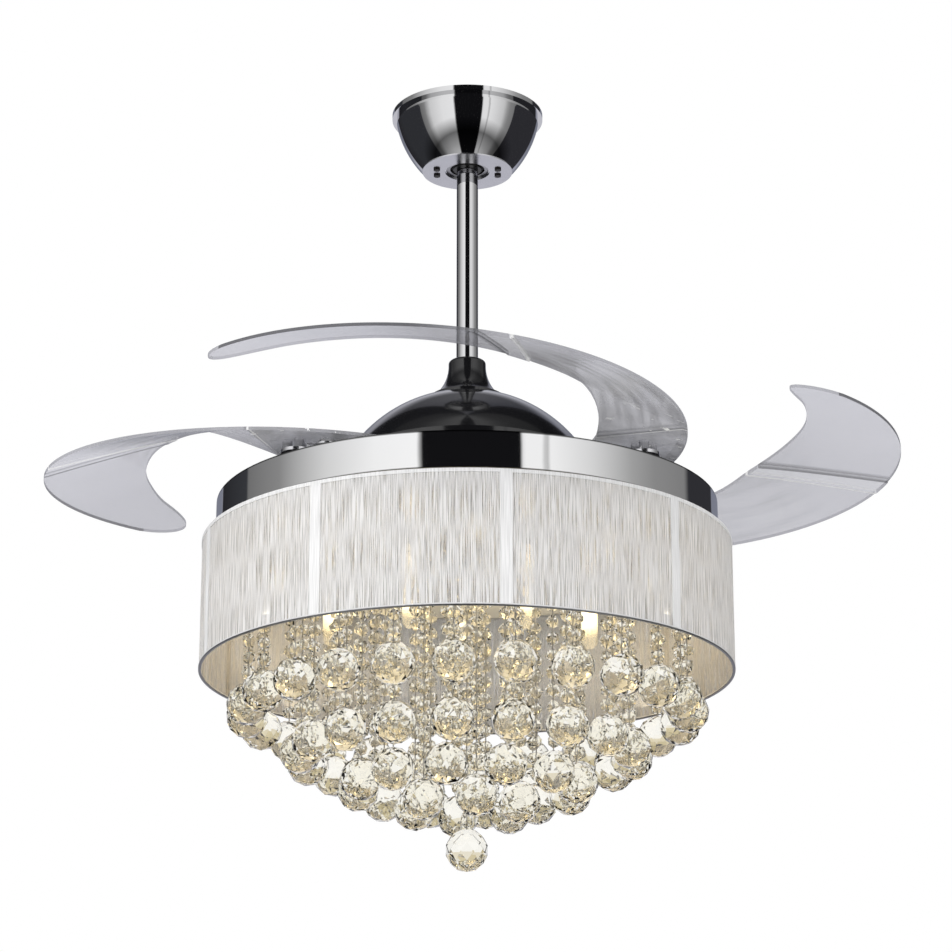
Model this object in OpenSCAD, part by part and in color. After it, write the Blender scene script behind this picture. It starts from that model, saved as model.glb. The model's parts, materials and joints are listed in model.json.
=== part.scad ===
// Ceiling fan with four folding blades and a crystal light, hung on a downrod.
// Origin: centre of the ceiling plate. Z points up, the fan hangs below. Millimetres.

/* [Canopy] */
// Radius of the canopy rim at the ceiling
canopy_r = 74.5; // [65:0.5:90]
// Height of the canopy with its cover plate
canopy_h = 60; // [52:1:75]
// Height of the thick rim at the ceiling
canopy_rim_h = 5; // [3:0.5:8]
// Inward step from the rim to the bowl
canopy_step = 4.5; // [2:0.5:8]
// Bulge of the bowl wall beyond a straight cone
canopy_bulge = 3.6; // [1:0.2:6]
// Sheet thickness of the canopy
canopy_wall = 1.2; // [0.8:0.1:2]
// Radius of the cover plate under the canopy
cover_plate_r = 44.4; // [40:0.2:50]
// Radius of the hole in the cover plate
cover_hole_r = 22; // [18:0.5:25]

/* [Hanger] */
// Radius of the hanger ball
ball_r = 26; // [23:0.5:28]
// Depth of the ball centre below the ceiling
ball_drop = 36; // [32:1:40]
// Spacing of the two ceiling screw holes
bracket_pitch = 89; // [80:1:100]
// Radius of each ceiling screw hole
bracket_hole_r = 2.6; // [2:0.1:3.5]
// Outer radius of the downrod
rod_r = 10.5; // [9:0.25:12]
// Bore radius of the downrod
rod_bore_r = 8.5; // [6:0.25:8.75]
// Depth of the lower end of the downrod below the ceiling
rod_end = 292; // [250:1:600]

/* [Motor cover] */
// Radius of the ball shape that the dome follows
dome_r = 135.4; // [125:0.2:150]
// Radius of the flat top of the dome
dome_top_r = 36; // [32:0.5:45]
// Radius of the lower rim of the dome
dome_rim_r = 118; // [100:0.5:124]
// Straight skirt below the dome
dome_skirt = 5; // [2:0.5:8]
// Height of the trumpet-shaped coupling cover
trumpet_h = 37.5; // [33:0.5:50]
// Radius of the neck of the coupling cover
trumpet_neck_r = 18; // [17:0.25:22]
// Radius of the foot of the coupling cover
trumpet_foot_r = 33; // [28:0.5:40]
// Wall of the dome and the coupling cover
cover_wall = 1.2; // [0.8:0.1:2]

/* [Motor] */
// Radius of the hollow motor shaft
shaft_r = 9; // [8:0.25:10]
// Bore radius of the hollow motor shaft
shaft_bore_r = 5.5; // [3:0.25:6.5]
// Outer radius of the rotor housing
rotor_r = 78; // [70:0.5:80]
// Height of the rotor housing
rotor_h = 66; // [58:1:70]
// Wall of the rotor housing
rotor_wall = 3.5; // [2.5:0.25:4.5]
// Height of the stack of stator sheets
stack_h = 30; // [20:1:34]
// Number of stator teeth, and of coils
tooth_count = 12; // [9:3:12]
// Number of balls in each bearing
bearing_balls_n = 10; // [7:1:12]

/* [Blades] */
// Radius of the outer edge of a folded blade
blade_edge_r = 237; // [230:0.5:238]
// Thickness of a blade
blade_t = 3; // [2:0.25:4]
// Width of a blade at its root
blade_root_w = 86; // [64:1:90]
// Width of a blade at its neck, a fifth along
blade_neck_w = 78; // [64:1:90]
// Greatest width of a blade
blade_belly_w = 101; // [85:1:104]
// Width of a blade two thirds along
blade_taper_w = 79; // [60:1:90]
// Width of a blade just before its tip
blade_tip_w = 43; // [30:1:55]
// Angle that a folded blade covers around the fan
blade_span = 159; // [140:1:165]
// Angle that the round tip takes
tip_angle = 12; // [8:1:20]
// Fall of the blade toward its outer edge, per millimetre
blade_fall = 0.28; // [0.2:0.01:0.34]
// Angle by which a blade leans, so that its tip clears the next root
blade_lean = 3.6; // [3:0.1:4.5]
// Angle by which a blade reaches past its pivot before its round end
root_past = 6; // [3:0.5:8]
// Depth of the flat root of a blade below the middle of the blades
root_drop = 25; // [24:0.5:28]
// Thickness that the strip across the middle of a blade adds below it
crease_t = 1; // [0.5:0.1:1.5]
// Depth of the middle of the blades below the top of the rotor housing
blade_drop = 42.5; // [40:0.5:47]
// Radius of the circle of blade pivots
pivot_circle_r = 205; // [200:2.5:205]
// Direction of the first blade's pivot
first_pivot = -37.9; // [-60:0.1:60]
// Swing of a blade from folded to open
blade_swing = 50.6; // [30:0.2:60]

/* [Blade carrier] */
// Radius of the turning tray
tray_r = 222; // [219:0.5:228]
// Thickness of the tray
tray_t = 2.5; // [2:0.25:3]
// Depth of the tray below the underside of the blades at their pivots
tray_drop = 12.5; // [12.3:0.1:17]
// Radius of the raised middle of the tray
tray_hub_r = 92.5; // [90:0.5:100]
// Teeth of a full circle of the ring gear
ring_teeth = 140; // [120:4:160]
// Teeth of a full circle of a blade's gear
pinion_teeth = 24; // [20:4:28]
// Thickness of the fold gears
gear_t = 3; // [2:0.25:4]
// Radius of a pivot pin
pin_r = 6; // [5:0.25:7]
// Radius of the hub that turns on a pivot pin
pin_hub_r = 11; // [10:0.25:12]

/* [Lower drum] */
// Radius of the chrome band at its top
band_top_r = 238; // [236:0.5:240]
// Radius of the chrome band at its bottom
band_bottom_r = 238.4; // [237:0.2:244]
// Depth of the top of the chrome band below the top of the tray
band_drop = 2.7; // [2:0.1:6]
// Height of the chrome band
band_h = 34; // [30:0.5:40]
// Sheet thickness of the chrome band
band_wall = 1.2; // [0.8:0.1:2]
// Gap between the chrome band and the light pan's brim
groove_h = 4.9; // [3:0.1:8]
// Sheet thickness of the light pan
pan_t = 2; // [1.5:0.1:3]

/* [Shade] */
// Inner radius of the shade film
shade_r = 249; // [246:0.5:256]
// Height of the shade
shade_h = 121.5; // [100:0.5:140]
// Thickness of the clear shade film
film_t = 0.8; // [0.5:0.1:1.5]
// Thickness of the layer of threads on the film
thread_t = 0.6; // [0.4:0.1:1]
// Number of white strips on the shade
strip_count = 9; // [6:1:12]
// Width of a white strip
strip_w = 11; // [6:0.5:16]
// Thickness of a white strip
strip_t = 0.6; // [0.4:0.1:1]
// Direction of the first white strip
first_strip = -82; // [-90:1:90]
// Height of the bottom hoop
hoop_h = 2.2; // [1.5:0.1:4]

/* [Crystals] */
// Radius of a crystal ball
crystal_r = 20; // [16:0.5:21]
// Step in radius from one ring of crystals to the next
ring_step = 51.5; // [48:0.5:54]
// Depth of the outer ring of balls below the pan
outer_hang = 159.4; // [140:0.2:180]
// Depth of the third ring of balls below the pan
middle_hang = 199; // [180:0.5:220]
// Depth of the second ring of balls below the pan
inner_hang = 228; // [210:0.5:250]
// Depth of the core ring of balls below the pan
core_hang = 246; // [230:0.5:280]
// Depth of the last ball below the pan
finial_hang = 287.4; // [275:0.2:330]
// Greatest radius of a bead
bead_r = 7; // [5:0.25:8]
// Wanted spacing of the beads on a strand
bead_pitch = 15.5; // [12:0.5:20]
// Radius of the wire that the beads hang on
wire_r = 0.8; // [0.5:0.1:1.2]

/* [Lamps] */
// Number of lamps in the outer circle
outer_lamps = 8; // [4:1:8]
// Number of lamps in the inner circle
inner_lamps = 4; // [2:1:4]
// Radius of a lamp socket
socket_r = 9; // [7:0.5:10]
// Height of a lamp socket
socket_h = 19; // [14:0.5:24]
// Radius of a bulb
bulb_r = 8; // [6:0.5:9]
// Length of a bulb below its socket
bulb_h = 43; // [30:1:55]

/* [Hidden] */

$fn = 96;
eps = 0.01;
run_gap = 0.06;     // radial play of a piece that turns on another
face_gap = 0.3;     // play between faces that pass each other

// Canopy and bracket
cover_plate_t = 1.2;
cover_plate_z = -canopy_h;
canopy_floor_z = cover_plate_z + cover_plate_t;
bracket_floor_z = canopy_floor_z + canopy_wall;
bracket_t = 3;
bracket_ring_r = 38;
bracket_bar_w = 40;
bracket_bar_l = bracket_pitch + 22;
seat_top_z = -ball_drop - 8;
seat_hole_r = rod_r + 6.5;
canopy_screw_circle_r = 31;
canopy_screw_r = 1.8;
canopy_screw_dirs = [-14, 14, 166, 194];

// Rod, ball and yoke
ball_z = -ball_drop;
ball_top_z = ball_z + 18;
ball_bottom_z = ball_z - 22;
rod_top_z = ball_z + 16;
rod_pin_r = 3;
rod_pin_z = ball_z + 8;
yoke_r = rod_r + 4;
yoke_top_z = -rod_end + 24;
yoke_pin_z = -rod_end + 10;
yoke_screw_z = -rod_end + 18.5;
yoke_screw_r = 2;
yoke_flange_r = 30;
yoke_flange_t = 4;

// Dome and coupling cover
dome_top_z = -rod_end - 4.5;
dome_step = 3;
yoke_flange_z = dome_top_z - cover_wall;
dome_centre_z = dome_top_z - dome_step - sqrt(pow(dome_r, 2) - pow(dome_top_r, 2));
dome_rim_z = dome_centre_z + sqrt(pow(dome_r, 2) - pow(dome_rim_r, 2));
dome_screw_circle_r = 23;
dome_screw_r = 1.8;
trumpet_top_z = dome_top_z + trumpet_h;
trumpet_collar = 5;
trumpet_round = 3.5;
flare_w = trumpet_foot_r - trumpet_neck_r;
flare_h = trumpet_h - trumpet_collar;
flare_r = (pow(flare_w, 2) + pow(flare_h, 2)) / (2 * flare_w);

// Motor
dome_room = 28;     // depth of the dome above the rotor
rotor_top_z = dome_top_z - dome_room;
rotor_bottom_z = rotor_top_z - rotor_h;
rotor_mid_z = rotor_top_z - rotor_h / 2;
race_t = 2.5;
race_gap = 3.5;
race_h = 9;
inner_race_r = shaft_r + race_t;
outer_race_r = inner_race_r + race_gap;
bearing_r = outer_race_r + race_t;
bearing_ball_r = race_gap / 2 - 0.05;
boss_r = bearing_r + 4.5;
lip_r = outer_race_r - 1.5;
bearing_zs = [rotor_top_z - rotor_wall - race_h, rotor_bottom_z + rotor_wall];
magnet_t = 6.5;
magnet_r = rotor_r - rotor_wall - magnet_t;
air_gap = 0.5;
stator_r = magnet_r - air_gap;
stator_hub_r = 30;
tooth_w = 8;
shoe_t = 6;
shoe_slot = 3;
coil_t = 3.6;
coil_in_r = stator_hub_r + 3;
coil_out_r = stator_r - shoe_t - 1;

// Blade surface: a shallow cone that leans toward the root, and a flat root below it that a
// triangular facet joins to the cone
blade_z = rotor_top_z - blade_drop;
blade_mid_r = 190;
blade_reach = blade_edge_r + blade_root_w / 4;
blade_inner_reach = blade_edge_r - 1.35 * blade_belly_w;
lean_dir = 10;
root_angle = 8;
blade_stations = [blade_root_w, blade_neck_w, blade_belly_w, blade_belly_w, blade_taper_w, blade_tip_w];
root_z = blade_z - root_drop;
neck_dir = 38;
root_in_dir = 13;
root_out_dir = 19;
facet_in = concat(polar(inner_edge(root_in_dir), -root_in_dir), root_z);
facet_out = concat(polar(blade_edge_r, -root_out_dir), root_z);
facet_neck = on_cone(polar(inner_edge(neck_dir), -neck_dir));
facet_cross = cross(facet_neck - facet_in, facet_out - facet_in);
facet_normal = facet_cross / norm(facet_cross);
crease_in_dirs = [60, 69];
crease_out_dirs = [84, 91.5];

// Tray, fold gears and pivots
nut_r = pin_r + 2.6;
nut_h = 2.5;
tray_z = root_z - blade_t / 2 - tray_drop;
rotor_flange_r = rotor_r + 10;
tray_screw_circle_r = rotor_r + 5;
tray_screw_r = 1.6;
tray_screw_head_r = 3.2;
tray_hole_r = 26;
hub_wall = tray_t;
gear_module = 2 * pivot_circle_r / (ring_teeth + pinion_teeth);
ring_pitch_r = gear_module * ring_teeth / 2;
pinion_pitch_r = gear_module * pinion_teeth / 2;
pressure_angle = 20;
backlash = 0.16;
gear_z = tray_z + face_gap;
gear_top_z = gear_z + gear_t;
ring_swing = blade_swing * pinion_teeth / ring_teeth;
ring_rim_w = 27;
ring_rim_r = ring_pitch_r - ring_rim_w;
stop_pin_r = 3;
stop_circle_r = 120;
stop_dirs = [20, 200];
retainer_t = 2;
retainer_r = tray_hub_r + 6.5;
pivot_dirs = [for (i = [0:3]) first_pivot + 90 * i];

// Fold arms: one plate from the fold gear to a pad, screwed to bosses under the blade
arm_dir = -105;
arm_reach = 28;
arm_neck_w = 20;
arm_pad_r = 14;
gear_base_r = pin_hub_r + 5;
blade_screw_circle_r = 8;
blade_screw_dirs = [0, 115, -115];
blade_screw_r = 1.6;
blade_screw_head_r = 3.2;
blade_screw_head_h = 1.5;
blade_screw_l = 9;
blade_screw_z = gear_z + 0.1 + blade_screw_head_h;
blade_boss_r = 4.5;

// Pivot pins and return springs
spring_wire_r = 0.7;
spring_r = pin_hub_r + spring_wire_r + 0.8;
spring_turns = 3;
spring_pitch = 1.9;
spring_z = gear_top_z + face_gap + spring_wire_r;
spring_leg_r = pin_hub_r + 8;
lug_r = 1.5;
lug_circle_r = pin_hub_r + 6;
spring_end_dir = blade_swing - 90 + 2 * asin((lug_r + spring_wire_r + 0.15) / 2 / lug_circle_r);
spring_turn = 360 * (spring_turns - 1) + spring_end_dir;
spring_end_z = spring_z + spring_pitch * spring_turn / 360;
hub_top_z = spring_end_z + spring_wire_r + 0.2;
pin_top_z = hub_top_z + face_gap + nut_h + 0.2;
pin_foot_h = 2;
pin_foot_r = 9;

// Drum, pan and shade
carrier_t = 2;
carrier_z = tray_z - tray_t - pin_foot_h - 2.5;
carrier_floor_z = carrier_z - carrier_t;
sleeve_r = inner_race_r - 0.3;
ledge_z = carrier_floor_z;
band_top_z = tray_z - band_drop;
band_bottom_z = band_top_z - band_h;
carrier_r = min(band_inner_r(carrier_z), band_inner_r(carrier_floor_z)) - 2;
brim_z = band_bottom_z - groove_h;
pan_z = brim_z - pan_t;
pan_wall_r = min(band_bottom_r, shade_r) - 4;
lower_ledge_r = pan_wall_r - 16;
upper_ledge_r = band_top_r - 20;
nut_across = 15;
shaft_nut_h = 8;
shaft_end_z = pan_z - 4;
spacer_circle_r = 120;
spacer_r = 5;
spacer_bore_r = 2.5;
band_screw_circle_r = band_top_r - 13.4;
band_screw_r = 2;
driver_size = [90, 45, 22];
driver_y = 70;
cap_r = 14;
cap_h = 10;
thread_r = shade_r + film_t;
strip_r = thread_r + thread_t;
shade_bottom_z = brim_z - shade_h;
edging_h = 3.4;

// Crystals and lamps
ring_hangs = [core_hang, inner_hang, middle_hang, outer_hang];
ring_phases = [-80, -100, -94.5, -93];
seat_flat = 0.6;
strand_foot_h = 1;
outer_lamp_circle_r = 3.5 * ring_step;
inner_lamp_circle_r = 1.5 * ring_step;
outer_lamp_phase = -87;
inner_lamp_phase = -45;

// Height of the middle of the blade above the ceiling plane at a place on the plan
function surface_z(x, y) =
    blade_z - tan(blade_lean) * (x * cos(lean_dir) + y * sin(lean_dir))
    - blade_fall * (norm([x, y]) - blade_mid_r);

// Point at a radius and a direction
function polar(r, a) = [r * cos(a), r * sin(a)];

// Point of the cone above a place on the plan
function on_cone(p) = [p[0], p[1], surface_z(p[0], p[1])];

// Smooth value between stations that are spread evenly over 0 to 1
function station_value(list, t) =
    let (
        last = len(list) - 1,
        i = min(floor(t * last), last - 1),
        u = t * last - i,
        b = list[i],
        c = list[i + 1],
        a = i > 0 ? list[i - 1] : b,
        d = i + 2 <= last ? list[i + 2] : c
    )
    b + u * (c - a) / 2 + pow(u, 2) * (a - 2.5 * b + 2 * c - d / 2)
    + pow(u, 3) * (1.5 * (b - c) + (d - a) / 2);

// How far an end is rounded off, from 0 before the end to 1 at the end
function end_close(u) = u <= 0 ? 0 : 1 - sqrt(max(0, 1 - u * u));
function blade_close(b) =
    max(end_close((b - blade_span + tip_angle) / tip_angle), end_close((-b - root_past) / root_angle));
function blade_width(b) = station_value(blade_stations, max(0, min(1, b / blade_span)));
function outer_edge(b) =
    let (k = blade_close(b)) k == 0 ? blade_edge_r + 4 : blade_edge_r - k * blade_width(b) / 2;
function inner_edge(b) = blade_edge_r - blade_width(b) * (1 - blade_close(b) / 2);

// Involute gear: angle between a tooth's middle and its flank at radius r
function roll(r, base_r) = r <= base_r ? 0 : sqrt(pow(r / base_r, 2) - 1) * 180 / PI - acos(base_r / r);
function half_tooth(r, teeth) =
    let (pitch_r = gear_module * teeth / 2, base_r = pitch_r * cos(pressure_angle))
    90 / teeth - backlash / 2 / pitch_r * 180 / PI + roll(pitch_r, base_r) - roll(r, base_r);
function tooth_points(teeth, root_r, tip_r) =
    let (steps = 5, rs = [for (i = [1:steps]) root_r + (tip_r - root_r) * i / steps])
    concat([polar(root_r - 2, -half_tooth(root_r, teeth))],
           [for (r = rs) polar(r, -half_tooth(r, teeth))],
           [for (i = [steps - 1:-1:0]) polar(rs[i], half_tooth(rs[i], teeth))],
           [polar(root_r - 2, half_tooth(root_r, teeth))]);

module ring_of(r, count, phase = 0) {
    for (i = [0:count - 1]) rotate(phase + 360 * i / count) translate([r, 0, 0]) children();
}

// Ring with a rectangular section between two heights
module tube(r_in, r_out, z_low, z_high) {
    rotate_extrude() translate([r_in, z_low]) square([r_out - r_in, z_high - z_low]);
}

module rod_between(r, z_low, z_high) {
    translate([0, 0, z_low]) cylinder(r = r, h = z_high - z_low);
}

// Pie slice from the centre, from direction a0 to a1
module wedge(r, a0, a1) {
    steps = 8;
    polygon(concat([[0, 0]], [for (i = [0:steps]) polar(r, a0 + (a1 - a0) * i / steps)]));
}

// Region of a bowl's section on the inner side of an arc through two points
module arc_region(p, q, bulge) {
    chord = norm(q - p);
    arc_r = (pow(chord / 2, 2) + pow(bulge, 2)) / (2 * bulge);
    mid = (p + q) / 2;
    out = [p[1] - q[1], q[0] - p[0]] / chord;
    intersection() {
        translate(mid - out * (arc_r - bulge)) circle(r = arc_r, $fn = 256);
        translate([0, q[1]]) square([p[0] + 20, p[1] - q[1]]);
    }
}

module ceiling_bracket() {
    color("silver") difference() {
        union() {
            rod_between(bracket_ring_r + 4, -bracket_t, 0);
            translate([-bracket_bar_l / 2, -bracket_bar_w / 2, -bracket_t])
                cube([bracket_bar_l, bracket_bar_w, bracket_t]);
            rod_between(bracket_ring_r, bracket_floor_z, bracket_floor_z + bracket_t);
            intersection() {
                translate([0, 0, ball_z]) sphere(r = ball_r + run_gap + bracket_t);
                rod_between(bracket_ring_r, bracket_floor_z, seat_top_z);
            }
            for (side = [-1, 1]) translate([-12, side * (bracket_ring_r - 1.5) - bracket_t / 2, bracket_floor_z])
                cube([24, bracket_t, -bracket_floor_z]);
        }
        translate([0, 0, ball_z]) sphere(r = ball_r + run_gap);
        rod_between(seat_hole_r, bracket_floor_z - 1, seat_top_z);
        for (side = [-1, 1]) translate([side * bracket_pitch / 2, 0, -bracket_t - 1])
            cylinder(r = bracket_hole_r, h = bracket_t + 2, $fn = 48);
        for (a = canopy_screw_dirs) rotate(a) translate([canopy_screw_circle_r, 0, bracket_floor_z - 1])
            cylinder(r = canopy_screw_r, h = 9, $fn = 32);
    }
}

module canopy_section(inset) {
    bowl_r = canopy_r - canopy_step;
    bowl_top = -canopy_rim_h - 5;
    arc_region([bowl_r - inset, bowl_top], [cover_plate_r - inset, canopy_floor_z + inset], canopy_bulge);
    translate([0, bowl_top]) square([bowl_r - inset, -bowl_top]);
    translate([0, -canopy_rim_h + inset]) square([canopy_r - inset, canopy_rim_h]);
}

module canopy() {
    color("gainsboro") difference() {
        rotate_extrude() difference() {
            intersection() {
                canopy_section(0);
                translate([0, -canopy_h]) square([canopy_r, canopy_h]);
            }
            canopy_section(canopy_wall);
            translate([0, -canopy_h]) square([seat_hole_r + 4, canopy_h]);
        }
        for (a = canopy_screw_dirs) rotate(a) translate([canopy_screw_circle_r, 0, canopy_floor_z - 1])
            cylinder(r = canopy_screw_r, h = 4, $fn = 32);
    }
}

module canopy_cover_plate() {
    color("lightgray") difference() {
        tube(cover_hole_r, cover_plate_r, cover_plate_z, canopy_floor_z);
        for (a = canopy_screw_dirs) rotate(a) translate([canopy_screw_circle_r, 0, cover_plate_z - 1])
            cylinder(r = canopy_screw_r, h = 4, $fn = 32);
    }
}

// Round-headed screw with its head below z = 0 and its shank above
module screw_up(shank_r, head_r, head_h, length) {
    translate([0, 0, -head_h]) cylinder(r = head_r, h = head_h, $fn = 32);
    cylinder(r = shank_r, h = length, $fn = 32);
}

module canopy_screws() {
    color("dimgray") for (a = canopy_screw_dirs) rotate(a)
        translate([canopy_screw_circle_r, 0, cover_plate_z]) screw_up(canopy_screw_r, 3.2, 1.6, 8);
}

module hanger_ball() {
    color("black") difference() {
        intersection() {
            translate([0, 0, ball_z]) sphere(r = ball_r);
            rod_between(ball_r + 1, ball_bottom_z, ball_top_z);
        }
        rod_between(rod_r, ball_bottom_z - 1, ball_top_z + 1);
        translate([0, 0, rod_pin_z]) rotate([0, 90, 0]) cylinder(r = rod_pin_r, h = 4 * ball_r, center = true, $fn = 32);
    }
}

module downrod() {
    color("gainsboro") difference() {
        rod_between(rod_r, -rod_end, rod_top_z);
        rod_between(rod_bore_r, -rod_end - 1, rod_top_z + 1);
        for (z = [rod_pin_z, yoke_pin_z]) translate([0, 0, z]) rotate([0, 90, 0])
            cylinder(r = rod_pin_r, h = 4 * rod_r, center = true, $fn = 32);
    }
}

module rod_pins() {
    upper_l = 2 * sqrt(pow(ball_r, 2) - pow(rod_pin_z - ball_z, 2)) - 4;
    lower_l = 2 * yoke_r + 3;
    color("silver") {
        translate([0, 0, rod_pin_z]) rotate([0, 90, 0]) cylinder(r = rod_pin_r, h = upper_l, center = true, $fn = 32);
        translate([0, 0, yoke_pin_z]) rotate([0, 90, 0]) cylinder(r = rod_pin_r, h = lower_l, center = true, $fn = 32);
    }
}

module yoke() {
    color("dimgray") difference() {
        union() {
            rod_between(yoke_r, yoke_flange_z, yoke_top_z);
            rod_between(yoke_flange_r, yoke_flange_z - yoke_flange_t, yoke_flange_z);
        }
        rod_between(rod_r, -rod_end, yoke_top_z + 1);
        rod_between(shaft_r, yoke_flange_z - yoke_flange_t - 1, -rod_end + 1);
        translate([0, 0, yoke_pin_z]) rotate([0, 90, 0]) cylinder(r = rod_pin_r, h = 4 * yoke_r, center = true, $fn = 32);
        translate([0, 0, yoke_screw_z]) rotate([90, 0, 0]) cylinder(r = yoke_screw_r, h = 4 * yoke_r, center = true, $fn = 32);
        ring_of(dome_screw_circle_r, 4, 45) translate([0, 0, yoke_flange_z - yoke_flange_t - 1])
            cylinder(r = dome_screw_r, h = yoke_flange_t + 2, $fn = 32);
    }
}

module yoke_screws() {
    color("silver") for (side = [-1, 1]) translate([0, side * rod_r, yoke_screw_z]) rotate([-side * 90, 0, 0])
        cylinder(r = yoke_screw_r, h = yoke_r - rod_r + 1, $fn = 32);
}

module motor_shaft() {
    color("silver") tube(shaft_bore_r, shaft_r, shaft_end_z, -rod_end);
}

module dome_section(inset) {
    intersection() {
        translate([0, dome_centre_z]) circle(r = dome_r - inset, $fn = 256);
        translate([0, dome_rim_z]) square([dome_rim_r - inset, dome_top_z - inset - dome_rim_z]);
    }
    translate([0, dome_top_z - dome_step - 2]) square([dome_top_r - inset, dome_step + 2 - inset]);
    translate([0, dome_rim_z - dome_skirt - inset]) square([dome_rim_r - inset, dome_skirt + inset]);
}

module motor_dome() {
    color("black") difference() {
        rotate_extrude() difference() {
            dome_section(0);
            dome_section(cover_wall);
            translate([0, yoke_flange_z - 1]) square([yoke_r + 0.5, cover_wall + 2]);
        }
        ring_of(dome_screw_circle_r, 4, 45) translate([0, 0, yoke_flange_z - 1])
            cylinder(r = dome_screw_r, h = 4, $fn = 32);
    }
}

// Pan-headed screw with its head above z = 0 and its shank below
module screw_down(shank_r, head_r, head_h, length) {
    cylinder(r = head_r, h = head_h, $fn = 32);
    translate([0, 0, -length]) cylinder(r = shank_r, h = length + eps, $fn = 32);
}

module dome_screws() {
    color("silver") ring_of(dome_screw_circle_r, 4, 45) translate([0, 0, dome_top_z])
        screw_down(dome_screw_r, 3.5, 2, cover_wall + yoke_flange_t);
}

module stator_core() {
    color("slategray") translate([0, 0, rotor_mid_z - stack_h / 2]) linear_extrude(stack_h) difference() {
        union() {
            circle(r = stator_hub_r);
            for (i = [0:tooth_count - 1]) rotate(360 * i / tooth_count) {
                translate([stator_hub_r - 2, -tooth_w / 2]) square([stator_r - stator_hub_r - 2, tooth_w]);
                intersection() {
                    difference() {
                        circle(r = stator_r);
                        circle(r = stator_r - shoe_t);
                    }
                    wedge(2 * stator_r, -180 / tooth_count, 180 / tooth_count);
                    translate([0, -stator_r]) square([2 * stator_r, 2 * stator_r]);
                    rotate(180 / tooth_count) translate([-stator_r, -3 * stator_r - shoe_slot / 2])
                        square([3 * stator_r, 3 * stator_r]);
                    rotate(-180 / tooth_count) translate([-stator_r, shoe_slot / 2])
                        square([3 * stator_r, 3 * stator_r]);
                }
            }
        }
        circle(r = shaft_r);
    }
}

module stator_coils() {
    coil_h = stack_h + 12;
    coil_w = tooth_w + 2 * coil_t;
    coil_l = coil_out_r - coil_in_r;
    color("peru") ring_of(coil_in_r, tooth_count) translate([0, 0, rotor_mid_z]) difference() {
        translate([0, -coil_w / 2, -coil_h / 2]) cube([coil_l, coil_w, coil_h]);
        translate([-1, -tooth_w / 2, -stack_h / 2]) cube([coil_l + 2, tooth_w, stack_h]);
    }
}

module bearing_inner_races() {
    color("silver") for (z = bearing_zs) tube(shaft_r, inner_race_r, z, z + race_h);
}

module bearing_outer_races() {
    color("silver") for (z = bearing_zs) tube(outer_race_r, bearing_r, z, z + race_h);
}

module bearing_balls() {
    color("white") for (z = bearing_zs) ring_of(inner_race_r + race_gap / 2, bearing_balls_n)
        translate([0, 0, z + race_h / 2]) sphere(r = bearing_ball_r, $fn = 24);
}

module rotor_top() {
    color("darkgray") {
        difference() {
            rod_between(rotor_r, rotor_mid_z, rotor_top_z);
            rod_between(rotor_r - rotor_wall, rotor_mid_z - 1, rotor_top_z - rotor_wall);
            rod_between(lip_r, rotor_mid_z, rotor_top_z + 1);
        }
        tube(bearing_r, boss_r, rotor_top_z - rotor_wall - race_h, rotor_top_z - rotor_wall);
    }
}

module rotor_bottom() {
    color("darkgray") {
        difference() {
            union() {
                rod_between(rotor_r, rotor_bottom_z, rotor_mid_z);
                rod_between(rotor_flange_r, rotor_bottom_z, rotor_bottom_z + rotor_wall);
            }
            rod_between(rotor_r - rotor_wall, rotor_bottom_z + rotor_wall, rotor_mid_z + 1);
            rod_between(lip_r, rotor_bottom_z - 1, rotor_mid_z);
            ring_of(tray_screw_circle_r, 6) translate([0, 0, rotor_bottom_z - 1])
                cylinder(r = tray_screw_r, h = rotor_wall + 2, $fn = 32);
        }
        tube(bearing_r, boss_r, rotor_bottom_z + rotor_wall, rotor_bottom_z + rotor_wall + race_h);
    }
}

module rotor_ring() {
    color("dimgray") tube(magnet_r, magnet_r + magnet_t, rotor_mid_z - stack_h / 2 - 3, rotor_mid_z + stack_h / 2 + 3);
}

module blade_tray() {
    color("silver") {
        difference() {
            rotate_extrude() {
                translate([tray_hole_r, rotor_bottom_z - tray_t]) square([tray_hub_r - tray_hole_r, tray_t]);
                translate([tray_hub_r - hub_wall, tray_z - tray_t])
                    square([hub_wall, rotor_bottom_z - tray_z + tray_t]);
                translate([tray_hub_r - hub_wall, tray_z - tray_t]) square([tray_r - tray_hub_r + hub_wall, tray_t]);
            }
            ring_of(tray_screw_circle_r, 6) translate([0, 0, rotor_bottom_z - tray_t - 1])
                cylinder(r = tray_screw_r, h = tray_t + 2, $fn = 32);
            for (a = pivot_dirs) rotate(a) translate([pivot_circle_r, 0, tray_z - tray_t - 1]) {
                cylinder(r = pin_r, h = tray_t + 2);
                translate([spring_leg_r, 0, 0]) cylinder(r = spring_wire_r + 0.2, h = tray_t + 2, $fn = 24);
            }
        }
        for (a = stop_dirs) rotate(a) translate([stop_circle_r, 0, tray_z - eps])
            cylinder(r = stop_pin_r, h = gear_top_z - tray_z + 0.5, $fn = 48);
    }
}

module tray_screws() {
    color("dimgray") ring_of(tray_screw_circle_r, 6) translate([0, 0, rotor_bottom_z + rotor_wall])
        screw_down(tray_screw_r, tray_screw_head_r, 2.2, rotor_wall + tray_t + 1.5);
}

module sync_retainer() {
    color("silver") tube(tray_hub_r, retainer_r, gear_top_z + face_gap, gear_top_z + face_gap + retainer_t);
}

// Outline of the slot in the ring gear that lets it turn round a stop pin by the fold travel
module stop_slot() {
    slot_r = stop_pin_r + 0.15;
    arc = [for (i = [0:8]) -ring_swing * i / 8];
    ends = [for (k = [1:11]) 15 * k];
    polygon(concat(
        [for (a = arc) polar(stop_circle_r + slot_r, a)],
        [for (k = ends) polar(stop_circle_r, -ring_swing) + polar(slot_r, -ring_swing - k)],
        [for (i = [8:-1:0]) polar(stop_circle_r - slot_r, arc[i])],
        [for (k = ends) polar(stop_circle_r, 0) + polar(slot_r, 180 - k)]));
}

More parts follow.
